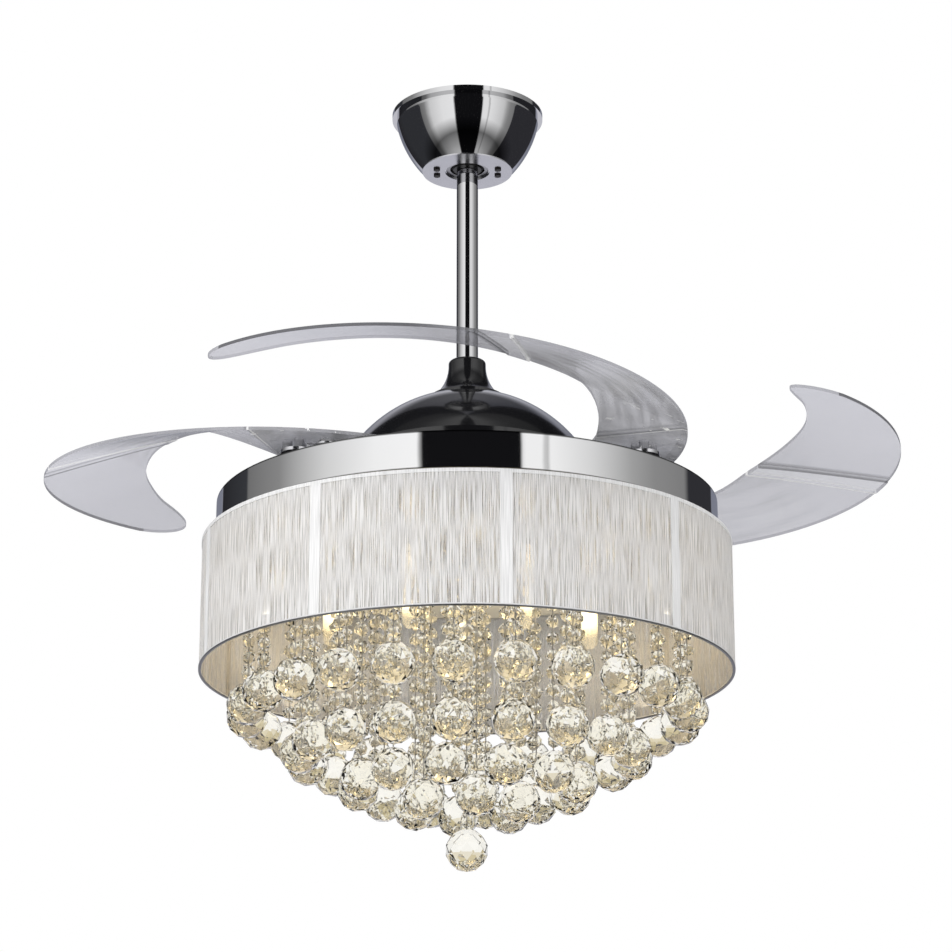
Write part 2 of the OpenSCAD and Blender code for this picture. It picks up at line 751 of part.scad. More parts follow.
module sync_ring() {
    root_r = ring_pitch_r - 1.25 * gear_module;
    tip_r = ring_pitch_r + 0.96 * gear_module;
    tooth_step = 360 / ring_teeth;
    folded_teeth = ceil(ring_swing / tooth_step) + 2;
    color("goldenrod") translate([0, 0, gear_z]) linear_extrude(gear_t) difference() {
        union() {
            circle(r = ring_rim_r, $fn = 128);
            for (a = pivot_dirs) rotate(a) {
                intersection() {
                    circle(r = root_r, $fn = 128);
                    wedge(1.2 * root_r, -(folded_teeth + 0.6) * tooth_step, 2.6 * tooth_step);
                }
                for (k = [-folded_teeth:2]) rotate(k * tooth_step) polygon(tooth_points(ring_teeth, root_r, tip_r));
            }
        }
        circle(r = tray_hub_r + run_gap, $fn = 128);
        for (a = stop_dirs) rotate(a) stop_slot();
    }
}

module pivot_pins() {
    color("silver") for (a = pivot_dirs) rotate(a) translate([pivot_circle_r, 0, 0]) {
        rod_between(pin_r, tray_z - tray_t - eps, pin_top_z);
        rod_between(pin_foot_r, tray_z - tray_t - pin_foot_h, tray_z - tray_t);
    }
}

module pivot_nuts() {
    color("gainsboro") for (a = pivot_dirs) rotate(a) translate([pivot_circle_r, 0, hub_top_z + face_gap])
        difference() {
            cylinder(r = nut_r, h = nut_h, $fn = 6);
            translate([0, 0, -1]) cylinder(r = pin_r, h = nut_h + 2);
        }
}

// Points of a return spring: leg up from the tray, turns round the hub, leg out to the lug
function spring_path() =
    let (per_turn = 10, count = round(per_turn * spring_turn / 360))
    concat([[spring_leg_r, 0, tray_z - tray_t + 0.5], [spring_leg_r, 0, spring_z - 1],
            [spring_leg_r - 1, 0, spring_z]],
           [for (i = [0:count]) let (a = spring_turn * i / count)
               concat(polar(spring_r, a), [spring_z + spring_pitch * a / 360])],
           [concat(polar(lug_circle_r + 1.5, spring_end_dir), [spring_end_z])]);

// Least free gap between turns of a wire along points, skipping each point's own neighbours
function wire_gap(points, r, skip) =
    min([for (i = [0:len(points) - 1 - skip]) for (j = [i + skip:len(points) - 1]) norm(points[i] - points[j])])
    - 2 * r;

// Tube of a radius along points, with straight ends
module wire_along(points, r, sides = 6) {
    count = len(points);
    rings = [for (i = [0:count - 1])
        let (
            before = points[max(i - 1, 0)],
            after = points[min(i + 1, count - 1)],
            t = (after - before) / norm(after - before),
            side = abs(t[2]) > 0.9 ? [0, 1, 0] : [0, 0, 1],
            u = cross(t, side) / norm(cross(t, side)),
            v = cross(t, u)
        )
        [for (k = [0:sides - 1]) points[i] + r * (u * cos(360 * k / sides) + v * sin(360 * k / sides))]];
    wall = [for (i = [0:count - 2]) for (k = [0:sides - 1])
        let (m = (k + 1) % sides, p = i * sides, q = p + sides)
        each [[p + k, p + m, q + m], [p + k, q + m, q + k]]];
    caps = concat([for (k = [1:sides - 2]) [0, k + 1, k]],
                  [for (k = [1:sides - 2]) let (p = (count - 1) * sides) [p, p + k, p + k + 1]]);
    polyhedron([for (ring = rings) each ring], concat(wall, caps));
}

module return_springs() {
    echo(least_spring_gap = wire_gap(spring_path(), spring_wire_r, 6));
    color("silver") for (a = pivot_dirs) rotate(a) translate([pivot_circle_r, 0, 0])
        wire_along(spring_path(), spring_wire_r);
}

// Space under the blade's middle surface raised by rise
module under_blade(rise, depth) {
    intersection() {
        translate([0, 0, blade_z]) rotate(a = blade_lean, v = [-sin(lean_dir), cos(lean_dir), 0])
            rotate_extrude($fn = 128) polygon([
                [blade_inner_reach, (blade_mid_r - blade_inner_reach) * blade_fall + rise],
                [blade_reach, (blade_mid_r - blade_reach) * blade_fall + rise],
                [blade_reach, -depth], [blade_inner_reach, -depth]
            ]);
        union() {
            translate([-2 * blade_reach, -2 * blade_reach, root_z + rise - depth])
                cube([4 * blade_reach, 4 * blade_reach, depth]);
            translate(facet_in + rise * facet_normal)
                rotate(a = acos(facet_normal[2]), v = [-facet_normal[1], facet_normal[0], 0])
                translate([-2 * blade_reach, -2 * blade_reach, -depth - blade_reach])
                cube([4 * blade_reach, 4 * blade_reach, depth + blade_reach]);
        }
    }
}

// Moves a folded blade's shapes to the open position of blade n
module opened(n) {
    rotate(pivot_dirs[n - 1]) translate([pivot_circle_r, 0, 0]) rotate(blade_swing)
        translate([-pivot_circle_r, 0, 0]) children();
}

module blade_outline() {
    body = [for (b = [-root_past:3:blade_span - tip_angle - 1]) b];
    tip = [for (u = [0:0.1:1]) blade_span - tip_angle + tip_angle * sin(90 * u)];
    root = [for (u = [1:-0.1:0.1]) -root_past - root_angle * sin(90 * u)];
    angles = concat(root, body, tip);
    intersection() {
        polygon(concat([for (b = angles) polar(outer_edge(b), -b)],
                       [for (i = [len(angles) - 1:-1:0]) polar(inner_edge(angles[i]), -angles[i])]));
        circle(r = blade_edge_r, $fn = 256);
    }
}

// Point on the line from p through q, past q by a share of their distance
function past(p, q, share) = q + (q - p) * share;

// Plan of the strip across the middle of a blade
module crease_outline() {
    inner = [for (a = crease_in_dirs) polar(inner_edge(a), -a)];
    outer = [for (a = crease_out_dirs) polar(blade_edge_r, -a)];
    polygon([past(outer[0], inner[0], 0.1), past(inner[0], outer[0], 0.1),
             past(inner[1], outer[1], 0.1), past(outer[1], inner[1], 0.1)]);
}

// Sheet of a blade between two heights off its middle surface, within a plan
module blade_sheet(low, high) {
    depth = blade_reach / 2;
    difference() {
        intersection() {
            translate([0, 0, blade_z - depth / 2]) linear_extrude(depth) children();
            under_blade(high, depth);
        }
        under_blade(low, depth + 1);
    }
}

// Places the children at each screw of a fold arm, with the blade folded
module at_arm_screws() {
    translate([pivot_circle_r, 0, 0]) rotate(arm_dir) translate([arm_reach, 0, 0])
        for (a = blade_screw_dirs) rotate(a) translate([blade_screw_circle_r, 0, 0]) children();
}

module blade(n) {
    color([0.8, 0.8, 0.85, 0.7]) opened(n) difference() {
        union() {
            blade_sheet(-blade_t / 2, blade_t / 2) blade_outline();
            blade_sheet(-blade_t / 2 - crease_t, 0) intersection() {
                blade_outline();
                crease_outline();
            }
            at_arm_screws() rod_between(blade_boss_r, gear_top_z, root_z);
        }
        at_arm_screws() rod_between(blade_screw_r, gear_top_z - 1, blade_screw_z + blade_screw_l);
    }
}

module blade_screws(n) {
    color("silver") opened(n) at_arm_screws() translate([0, 0, blade_screw_z])
        screw_up(blade_screw_r, blade_screw_head_r, blade_screw_head_h, blade_screw_l);
}

// Plan of the fold arm beside its teeth: the hub's base, the neck and the pad
module arm_outline() {
    circle(r = gear_base_r, $fn = 64);
    rotate(arm_dir) {
        translate([0, -arm_neck_w / 2]) square([arm_reach, arm_neck_w]);
        translate([arm_reach, 0]) circle(r = arm_pad_r, $fn = 64);
    }
}

module blade_arm(n) {
    root_r = pinion_pitch_r - 1.25 * gear_module;
    tip_r = pinion_pitch_r + 0.96 * gear_module;
    tooth_step = 360 / pinion_teeth;
    open_dir = 180 - blade_swing;
    teeth_after = ceil(blade_swing / tooth_step) + 1;
    color("gainsboro") opened(n) difference() {
        translate([pivot_circle_r, 0, 0]) {
            rod_between(pin_hub_r, gear_z, hub_top_z);
            translate([0, -lug_circle_r, 0]) rod_between(lug_r, gear_z, hub_top_z);
            translate([0, 0, gear_z]) linear_extrude(gear_t) {
                arm_outline();
                intersection() {
                    circle(r = root_r, $fn = 64);
                    rotate(open_dir) wedge(1.3 * root_r, -2 * tooth_step, teeth_after * tooth_step);
                }
                rotate(open_dir) for (k = [-2:teeth_after - 1]) rotate((k + 0.5) * tooth_step)
                    polygon(tooth_points(pinion_teeth, root_r, tip_r));
            }
        }
        translate([pivot_circle_r, 0, 0]) rod_between(pin_r + run_gap, gear_z - 1, hub_top_z + 1);
        at_arm_screws() {
            rod_between(blade_screw_r, gear_z - 1, gear_top_z + 1);
            rod_between(blade_screw_head_r + 0.2, gear_z - 1, blade_screw_z);
        }
    }
}

module coupling_cover() {
    color("black") rotate_extrude() difference() {
        union() {
            difference() {
                translate([0, dome_top_z]) square([trumpet_foot_r, flare_h]);
                translate([trumpet_neck_r + flare_r, trumpet_top_z - trumpet_collar]) circle(r = flare_r, $fn = 256);
            }
            translate([0, dome_top_z]) square([trumpet_neck_r, trumpet_h - trumpet_round]);

            translate([(trumpet_neck_r - trumpet_round), trumpet_top_z - trumpet_round]) circle(r = trumpet_round, $fn = 64);
            translate([0, dome_top_z]) square([(trumpet_neck_r - trumpet_round), trumpet_h]);
        }
        difference() {
            translate([0, dome_top_z - 1]) square([trumpet_foot_r - cover_wall, flare_h + 1]);
            translate([trumpet_neck_r + flare_r, trumpet_top_z - trumpet_collar])
                circle(r = flare_r + cover_wall, $fn = 256);
        }
        translate([0, dome_top_z - 1]) square([trumpet_neck_r - cover_wall, trumpet_h - trumpet_collar + 1]);

        translate([0, dome_top_z]) square([rod_r + face_gap, trumpet_h + 1]);
    }
}

module drum_carrier() {
    color("silver") difference() {
        rod_between(carrier_r, carrier_floor_z, carrier_z);
        rod_between(shaft_r, carrier_floor_z - 1, carrier_z + 1);
        ring_of(spacer_circle_r, 4, 45) translate([0, 0, carrier_floor_z - 1])
            cylinder(r = spacer_bore_r, h = carrier_t + 2, $fn = 32);
        ring_of(band_screw_circle_r, 6) translate([0, 0, carrier_floor_z - 1])
            cylinder(r = band_screw_r, h = carrier_t + 2, $fn = 32);
    }
}

module shaft_nut() {
    color("silver") translate([0, 0, carrier_floor_z - shaft_nut_h]) difference() {
        cylinder(r = nut_across, h = shaft_nut_h, $fn = 6);
        translate([0, 0, -1]) cylinder(r = shaft_r, h = shaft_nut_h + 2);
    }
}

// Inner radius of the chrome band's sloping wall at a height
function band_inner_r(z) = band_top_r - band_wall + (band_bottom_r - band_top_r) * (band_top_z - z) / band_h;

module chrome_band() {
    color("gainsboro") difference() {
        rotate_extrude($fn = 180) polygon([
            [band_inner_r(band_top_z), band_top_z], [band_top_r, band_top_z], [band_bottom_r, band_bottom_z],
            [lower_ledge_r, band_bottom_z], [lower_ledge_r, band_bottom_z + band_wall],
            [band_inner_r(band_bottom_z + band_wall), band_bottom_z + band_wall],
            [band_inner_r(ledge_z - band_wall), ledge_z - band_wall],
            [upper_ledge_r, ledge_z - band_wall], [upper_ledge_r, ledge_z],
            [band_inner_r(ledge_z), ledge_z]
        ]);
        ring_of(band_screw_circle_r, 6) translate([0, 0, ledge_z - band_wall - 1])
            cylinder(r = band_screw_r, h = band_wall + 2, $fn = 32);
    }
}

module light_pan() {
    color("silver") difference() {
        rotate_extrude($fn = 180) {
            translate([0, pan_z]) square([shade_r, pan_t]);
            translate([pan_wall_r - pan_t, pan_z]) square([pan_t, band_bottom_z - pan_z]);
        }
        rod_between(shaft_r, pan_z - 1, brim_z + 1);
        ring_of(spacer_circle_r, 4, 45) translate([0, 0, pan_z - 1])
            cylinder(r = spacer_bore_r, h = pan_t + 2, $fn = 32);
    }
}

// Four spacers between carrier and pan, and a sleeve on the shaft between carrier and lower bearing
module pan_spacers() {
    color("silver") {
        ring_of(spacer_circle_r, 4, 45) tube(spacer_bore_r, spacer_r, brim_z, carrier_floor_z);
        tube(shaft_r, sleeve_r, carrier_z, min(bearing_zs));
    }
}

module drum_screws() {
    color("silver") {
        ring_of(spacer_circle_r, 4, 45) {
            translate([0, 0, pan_z]) screw_up(spacer_bore_r, 5, 2.4, 12);
            translate([0, 0, carrier_z]) screw_down(spacer_bore_r, 4.5, 2.2, 12);
        }
        ring_of(band_screw_circle_r, 6) translate([0, 0, ledge_z - band_wall])
            screw_up(band_screw_r, 4, 2, carrier_t + band_wall + 0.5);
    }
}

module centre_cap() {
    color("gainsboro") difference() {
        rod_between(cap_r, pan_z - cap_h, pan_z);
        rod_between(shaft_r, shaft_end_z, pan_z + 1);
    }
}

module driver_boxes() {
    color("white") for (side = [-1, 1]) translate([-driver_size[0] / 2, side * driver_y - driver_size[1] / 2, brim_z])
        cube(driver_size);
}

module at_lamps() {
    ring_of(outer_lamp_circle_r, outer_lamps, outer_lamp_phase) children();
    ring_of(inner_lamp_circle_r, inner_lamps, inner_lamp_phase) children();
}

module lamp_sockets() {
    color("white") at_lamps() rod_between(socket_r, pan_z - socket_h, pan_z);
}

module bulbs() {
    color("khaki") at_lamps() translate([0, 0, pan_z - socket_h]) {
        rod_between(bulb_r, bulb_r - bulb_h, 0);
        translate([0, 0, bulb_r - bulb_h]) sphere(r = bulb_r, $fn = 48);
    }
}

module shade_film() {
    color([0.95, 0.95, 0.95, 0.5]) tube(shade_r, shade_r + film_t, shade_bottom_z, brim_z, $fn = 180);
}

module shade_threads() {
    color([1, 1, 1, 0.6]) tube(thread_r, strip_r, shade_bottom_z, brim_z, $fn = 180);
}

module shade_strips() {
    half = strip_w / 2 / strip_r * 180 / PI;
    color("white") translate([0, 0, shade_bottom_z]) linear_extrude(shade_h - edging_h)
        for (i = [0:strip_count - 1]) rotate(first_strip + 360 * i / strip_count) intersection() {
            difference() {
                circle(r = strip_r + strip_t, $fn = 180);
                circle(r = strip_r, $fn = 180);
            }
            wedge(strip_r * 1.1, -half, half);
        }
}

module shade_top_hoop() {
    color("white") tube(strip_r, strip_r + strip_t, brim_z - edging_h, brim_z, $fn = 180);
}

module shade_bottom_hoop() {
    color("dimgray") tube(shade_r - 0.6, strip_r + strip_t, shade_bottom_z - hoop_h, shade_bottom_z, $fn = 180);
}

// Half section of a strand of beads on a wire, hanging down from z = 0
function bead_points(length) =
    let (count = round((length - strand_foot_h) / bead_pitch), pitch = (length - strand_foot_h) / count)
    [for (i = [0:count - 1]) let (z = -pitch * (i + 0.5), h = pitch * 0.44)
        each [[wire_r, z + h], [bead_r, z + h * 0.4], [bead_r, z - h * 0.4], [wire_r, z - h]]];

module strand(length) {
    rotate_extrude($fn = 32) polygon(concat(
        [[0, 0], [wire_r, 0]], bead_points(length),
        [[wire_r, strand_foot_h - length], [seat_r, strand_foot_h - length], [seat_r, -length], [0, -length]]));
}

seat_r = sqrt(pow(crystal_r, 2) - pow(crystal_r - seat_flat, 2));

module at_ring(k) {
    ring_of(k * ring_step, 6 * k, ring_phases[k - 1]) translate([0, 0, pan_z]) children();
}

module bead_strands() {
    color([0.9, 0.9, 0.85]) {
        for (k = [1:4]) at_ring(k) strand(ring_hangs[k - 1] - crystal_r + seat_flat);
        translate([0, 0, pan_z - cap_h]) strand(finial_hang - cap_h - crystal_r + seat_flat);
    }
}

module crystal() {
    difference() {
        sphere(r = crystal_r);
        translate([0, 0, crystal_r - seat_flat]) cylinder(r = crystal_r, h = crystal_r);
    }
}

module crystal_ring(k) {
    color([0.95, 0.93, 0.85, 0.8]) at_ring(k) translate([0, 0, -ring_hangs[k - 1]]) crystal();
}

module outer_crystals() crystal_ring(4);
module middle_crystals() crystal_ring(3);
module inner_crystals() {
    crystal_ring(2);
    crystal_ring(1);
}
module finial_crystal() {
    color([0.95, 0.93, 0.85, 0.8]) translate([0, 0, pan_z - finial_hang]) crystal();
}

ceiling_bracket();
canopy();
canopy_cover_plate();
canopy_screws();
hanger_ball();
downrod();
rod_pins();
yoke();
yoke_screws();
motor_shaft();
motor_dome();
dome_screws();
stator_core();
stator_coils();
bearing_inner_races();
bearing_balls();
drum_carrier();
shaft_nut();
chrome_band();
light_pan();
pan_spacers();
drum_screws();
centre_cap();
driver_boxes();
lamp_sockets();
bulbs();
shade_film();
shade_threads();
shade_strips();
shade_top_hoop();
shade_bottom_hoop();
bead_strands();
outer_crystals();
middle_crystals();
inner_crystals();
finial_crystal();
coupling_cover();
rotor_top();
rotor_bottom();
rotor_ring();
bearing_outer_races();
blade_tray();
tray_screws();
pivot_pins();
pivot_nuts();
return_springs();
sync_retainer();
sync_ring();
blade(1);  // blade_1
blade_arm(1);  // blade_arm_1
blade_screws(1);  // blade_screws_1
blade(2);  // blade_2
blade_arm(2);  // blade_arm_2
blade_screws(2);  // blade_screws_2
blade(3);  // blade_3
blade_arm(3);  // blade_arm_3
blade_screws(3);  // blade_screws_3
blade(4);  // blade_4
blade_arm(4);  // blade_arm_4
blade_screws(4);  // blade_screws_4
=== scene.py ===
import json
import math
import random

import bpy
from mathutils import Matrix, Vector


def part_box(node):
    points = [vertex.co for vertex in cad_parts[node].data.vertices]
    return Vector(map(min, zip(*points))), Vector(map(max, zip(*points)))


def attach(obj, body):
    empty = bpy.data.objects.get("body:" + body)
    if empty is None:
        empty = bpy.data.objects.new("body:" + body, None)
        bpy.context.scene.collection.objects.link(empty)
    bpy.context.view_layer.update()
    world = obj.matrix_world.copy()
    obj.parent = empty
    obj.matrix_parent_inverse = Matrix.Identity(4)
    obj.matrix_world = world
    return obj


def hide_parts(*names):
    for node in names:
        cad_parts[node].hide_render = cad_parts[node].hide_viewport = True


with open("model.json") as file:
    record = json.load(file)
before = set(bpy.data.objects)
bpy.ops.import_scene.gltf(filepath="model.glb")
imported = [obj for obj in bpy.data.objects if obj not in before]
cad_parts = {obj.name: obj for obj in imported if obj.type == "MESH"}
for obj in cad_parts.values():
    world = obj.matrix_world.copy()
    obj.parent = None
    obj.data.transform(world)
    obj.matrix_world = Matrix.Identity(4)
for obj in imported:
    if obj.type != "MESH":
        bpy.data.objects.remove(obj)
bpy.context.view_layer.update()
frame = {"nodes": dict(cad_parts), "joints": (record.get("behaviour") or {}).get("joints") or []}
nodes = frame["nodes"]
joints = {joint["name"]: joint for joint in frame["joints"]}
random.seed(11)
scene = bpy.context.scene
scene.view_settings.view_transform = "Standard"


def lowest(node):
    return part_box(node)[0][2]


# ---------------------------------------------------------------- sizes, in metres and degrees
PAN_Z = lowest("light_pan")

# Blades: the pivots' circle, where blade 1 pivots, its swing, and its outer edge's radius when folded
pivot_x, pivot_y = joints["blade_1_fold"]["pos_m"][:2]
PIVOT_R = math.hypot(pivot_x, pivot_y)
FIRST_PIVOT = math.degrees(math.atan2(pivot_y, pivot_x))
SWING = -joints["blade_1_fold"]["range_deg"][0]
BLADE_EDGE_R = 0.237

# Lines across a folded blade: the direction across each line, and its distance from the fan's axis
STRIP_ROOT = ((0.938, -0.347, 0), 0.105)
STRIP_TIP = ((0.898, -0.439, 0), 0.0984)
BEND = ((0.495, 0.868, 0), 0.0439)

# Painted shade on each blade's neck and streaks, more on some blades than on others
NECK_SHADE = {1: 1.0, 2: 0.2, 3: 0.5, 4: 0.8}
BLADES = list(NECK_SHADE)

# Shade: its radius, the way around it that its threads are laid out on, and how much they change with height
SHADE_R = 0.25
SHADE_ROUND = 1.57
THREAD_DRIFT = 0.012

# Crystals: rings of 6, 12, 18 and 24 balls, each with its hang from pan to ball centre and its first angle
BALL_R = 0.02
RING_STEP = 0.0515
HANGS = {1: 0.246, 2: 0.228, 3: 0.199, 4: 0.1594}
PHASES = {1: -80, 2: -100, 3: -94.5, 4: -93}
FINIAL_HANG = 0.2874

# Beads
BEAD_R = 0.007
BEAD_PITCH = 0.0155
STRAND_END = 0.001
WIRE_R = 0.0006
WIRE_IN_BALL = 0.0006
CAP_H = 0.01


# ---------------------------------------------------------------- camera
def add_camera(place, tilt, view):
    """Camera that looks along +Y from place, tilted up from straight down, with a square view in degrees."""
    data = bpy.data.cameras.new("camera")
    data.angle = math.radians(view)
    data.clip_end = 60
    camera = bpy.data.objects.new("camera", data)
    camera.location = place
    camera.rotation_euler = (math.radians(tilt), 0, 0)
    scene.collection.objects.link(camera)
    scene.camera = camera


add_camera(place=(0.00852, -2.7536, -1.2544), tilt=107.7055, view=17.907)


# ---------------------------------------------------------------- node helpers
class Graph:
    """Short way to write a node tree. A value is a number, a colour, a vector or another node's output."""

    def __init__(self, tree):
        self.tree = tree
        tree.nodes.clear()

    def node(self, kind, settings=None, **inputs):
        """New node. Inputs go by name, with _ for a space, or by place as i0, i1 and so on."""
        n = self.tree.nodes.new(kind)
        for key, value in (settings or {}).items():
            setattr(n, key, value)
        for key, value in inputs.items():
            name = key.replace("_", " ")
            socket = n.inputs[name] if name in n.inputs else n.inputs[int(key[1:])]
            if hasattr(value, "is_output"):
                self.tree.links.new(value, socket)
            else:
                socket.default_value = value
        return n

    def math(self, op, a, b=0.0, c=0.0, clamp=False):
        how = {"operation": op, "use_clamp": clamp}
        return self.node("ShaderNodeMath", how, i0=a, i1=b, i2=c).outputs[0]

    def times(self, a, b):
        return self.math("MULTIPLY", a, b)

    def larger(self, a, b):
        return self.math("MAXIMUM", a, b)

    def scaled(self, a, factor, plus, clamp=False):
        return self.math("MULTIPLY_ADD", a, factor, plus, clamp)

    def mix(self, fac, a, b, way="MIX"):
        """Colour a where fac is 0, b where it is 1."""
        how = {"data_type": "RGBA", "blend_type": way}
        return self.node("ShaderNodeMix", how, i0=fac, i6=a, i7=b).outputs[2]

    def ramp(self, fac, stops):
        """Colour by fac, from stops of (position, colour)."""
        n = self.node("ShaderNodeValToRGB", Fac=fac)
        elements = n.color_ramp.elements
        while len(elements) > 1:
            elements.remove(elements[-1])
        elements[0].position, elements[0].color = stops[0]
        for position, colour in stops[1:]:
            elements.new(position).color = colour
        return n.outputs[0]

    def shader(self, kind, **inputs):
        return self.node(f"ShaderNodeBsdf{kind}", **inputs).outputs[0]

    def mix_shader(self, fac, a, b):
        return self.node("ShaderNodeMixShader", Fac=fac, i1=a, i2=b).outputs[0]

    def split(self, vector):
        return self.node("ShaderNodeSeparateXYZ", Vector=vector).outputs

    def dot(self, a, b):
        return self.node("ShaderNodeVectorMath", {"operation": "DOT_PRODUCT"}, i0=a, i1=b).outputs["Value"]

    def mapped(self, vector, **how):
        return self.node("ShaderNodeMapping", Vector=vector, **how).outputs[0]

    def place(self):
        """Place on the piece at rest, in metres in the CAD's frame."""
        return self.node("ShaderNodeTexCoord").outputs["Object"]

    def noise(self, vector, scale, detail=3.0, rough=0.55, dimensions="3D"):
        return self.node("ShaderNodeTexNoise", {"noise_dimensions": dimensions}, Vector=vector, Scale=scale,
                         Detail=detail, Roughness=rough).outputs["Fac"]

    def bump(self, height, strength, distance=0.0005):
        return self.node("ShaderNodeBump", Height=height, Strength=strength, Distance=distance).outputs[0]

    def facing(self, blend):
        """0 where the surface faces the ray, 1 at its outline."""
        return self.node("ShaderNodeLayerWeight", Blend=blend).outputs["Facing"]

    def by_height(self, foot, reach, stops):
        """Colour by height over foot: stops are (metres, colour), from 0 to reach."""
        z = self.split(self.place())[2]
        share = self.scaled(z, 1 / reach, -foot / reach)
        return self.ramp(share, [(h / reach, colour) for h, colour in stops])


def grey(v):
    return (v, v, v, 1.0)


def rgba(colour, level=1.0):
    return tuple(c * level for c in colour) + (1,)


def material(name, paint):
    """Material whose surface is the shader that paint(g) returns."""
    m = bpy.data.materials.new(name)
    m.use_nodes = True
    g = Graph(m.node_tree)
    g.node("ShaderNodeOutputMaterial", Surface=paint(g))
    return m


def dress(name, mat):
    """Give a CAD node its material."""
    o = nodes[name]
    o.data.materials.clear()
    o.data.materials.append(mat)
    return o


# ---------------------------------------------------------------- metals and coats
def metal(name, colour, rough, wear=0.04, wear_scale=60, grain=(1, 1, 1), bump=0.02):
    def paint(g):
        v = g.mapped(g.place(), Scale=grain)
        n = g.noise(v, wear_scale)
        colours = g.mix(g.noise(v, wear_scale * 0.3), rgba(colour), rgba(colour, 0.93))
        return g.shader("Principled", Base_Color=colours, Metallic=1.0, Roughness=g.scaled(n, wear, rough),
                        Normal=g.bump(n, bump))
    return material(name, paint)


def paint_coat(name, colour, rough, coat=0.0, scale=400, bump=0.03):
    def paint(g):
        v = g.place()
        n = g.noise(v, scale)
        colours = g.mix(g.noise(v, 14), rgba(colour), rgba(colour, 0.9))
        return g.shader("Principled", Base_Color=colours, Roughness=g.scaled(n, 0.06, rough),
                        Coat_Weight=coat, Coat_Roughness=0.03, Normal=g.bump(n, bump, 0.0002))
    return material(name, paint)


chrome = metal("chrome", (0.78, 0.78, 0.79), 0.03, 0.02, 30, bump=0.004)
plate_metal = metal("plate_satin", (0.72, 0.72, 0.75), 0.2, 0.06, 90)
zinc = metal("zinc_steel", (0.58, 0.58, 0.6), 0.28, 0.12, 160, bump=0.05)
ground = metal("ground_steel", (0.55, 0.55, 0.57), 0.22, 0.08, 120, (1, 1, 8))
cast_alu = metal("cast_aluminium", (0.55, 0.55, 0.56), 0.42, 0.15, 260, bump=0.12)
arm_metal = metal("arm_metal", (0.8, 0.8, 0.83), 0.18, 0.1, 140, bump=0.05)
tray_paint = metal("tray_silver", (0.72, 0.72, 0.74), 0.3, 0.08, 200)
dark_screw = metal("dark_screw", (0.05, 0.045, 0.045), 0.35, 0.1, 200)
black_gloss = paint_coat("black_gloss", (0.006, 0.006, 0.007), 0.12, 0.6, 60, 0.004)
ball_black = paint_coat("ball_black", (0.012, 0.012, 0.012), 0.3)
yoke_black = paint_coat("yoke_black", (0.02, 0.02, 0.02), 0.45)
white_plastic = paint_coat("white_plastic", (0.82, 0.82, 0.8), 0.4)
gear_plastic = paint_coat("gear_plastic", (0.8, 0.78, 0.7), 0.42)
socket_white = paint_coat("socket_white", (0.8, 0.78, 0.72), 0.25, 0.4)
magnet = paint_coat("magnet", (0.05, 0.05, 0.055), 0.5)
core_varnish = paint_coat("core_varnish", (0.12, 0.12, 0.13), 0.4)


def pan_paint(g):
    """Polished sheet whose warm colour is painted lamp light."""
    n = g.noise(g.place(), 25)
    # Painted lamp light: the sheet's warm colour.
    colours = g.mix(n, (0.9, 0.84, 0.7, 1), (0.82, 0.77, 0.65, 1))
    return g.shader("Principled", Base_Color=colours, Metallic=0.4, Roughness=g.scaled(n, 0.1, 0.12))


def coil_paint(g):
    """Copper wire, turn over turn."""
    turns = g.node("ShaderNodeTexWave", {"bands_direction": "Z"}, Vector=g.place(), Scale=600.0,
                   Distortion=0.4).outputs["Fac"]
    return g.shader("Principled", Base_Color=g.mix(turns, (0.25, 0.09, 0.03, 1), (0.62, 0.28, 0.12, 1)),
                    Metallic=0.9, Roughness=0.3, Normal=g.bump(turns, 0.5))


def hoop_paint(g):
    """Steel hoop under the threads' edge: the tape covers its upper part."""
    n = g.noise(g.place(), 300)
    tape = g.by_height(lowest("shade_bottom_hoop"), 0.01, [(0.0008, grey(0.0)), (0.0013, grey(1.0))])
    steel = g.shader("Principled", Base_Color=g.mix(n, (0.12, 0.12, 0.13, 1), (0.2, 0.2, 0.21, 1)),
                     Metallic=1.0, Roughness=g.scaled(n, 0.1, 0.3))
    cloth = g.shader("Principled", Base_Color=g.mix(n, grey(0.5), grey(0.72)), Roughness=0.6)
    return g.mix_shader(tape, steel, cloth)


def band_paint(g):
    """Bright chrome with a painted shade line along its top and bottom edges."""
    n = g.noise(g.place(), 30)
    # Painted shade: a thin dark line at the bottom and at the top of the band.
    painted_edge_shade = g.by_height(lowest("chrome_band"), 0.04, [
        (0.0001, grey(0.1)), (0.0011, grey(0.9)), (0.0323, (0.9, 0.9, 0.91, 1)), (0.0333, grey(0.06))])
    return g.shader("Principled", Base_Color=g.mix(g.times(n, 0.12), painted_edge_shade, grey(0.75)), Metallic=1.0,
                    Roughness=g.scaled(n, 0.02, 0.03))


def bulb_paint(g):
    """Clear glass, lit in its upper half, with a clearer tip."""
    foot, reach = lowest("bulbs"), 0.05
    heat = g.by_height(foot, reach, [
        (0.0141, (0.0, 0.0, 0.0, 1)), (0.0226, (0.7, 0.5, 0.2, 1)), (0.0296, (1.0, 0.86, 0.45, 1)),
        (0.0366, (0.8, 0.6, 0.3, 1)), (0.0441, (0.1, 0.07, 0.03, 1))])
    lit = g.shader("Principled", Base_Color=(0.9, 0.88, 0.8, 1), Roughness=0.12, Emission_Color=heat,
                   Emission_Strength=1.1)
    clear = g.shader("Transparent", Color=(0.97, 0.95, 0.9, 1))
    return g.mix_shader(g.by_height(foot, reach, [(0.0116, grey(0.14)), (0.0266, grey(0.8))]), clear, lit)


pan_mirror = material("pan_mirror", pan_paint)
copper = material("copper_coils", coil_paint)
hoop_grey = material("hoop_grey", hoop_paint)
band_chrome = material("band_chrome", band_paint)
bulb_lit = material("bulb_lit", bulb_paint)


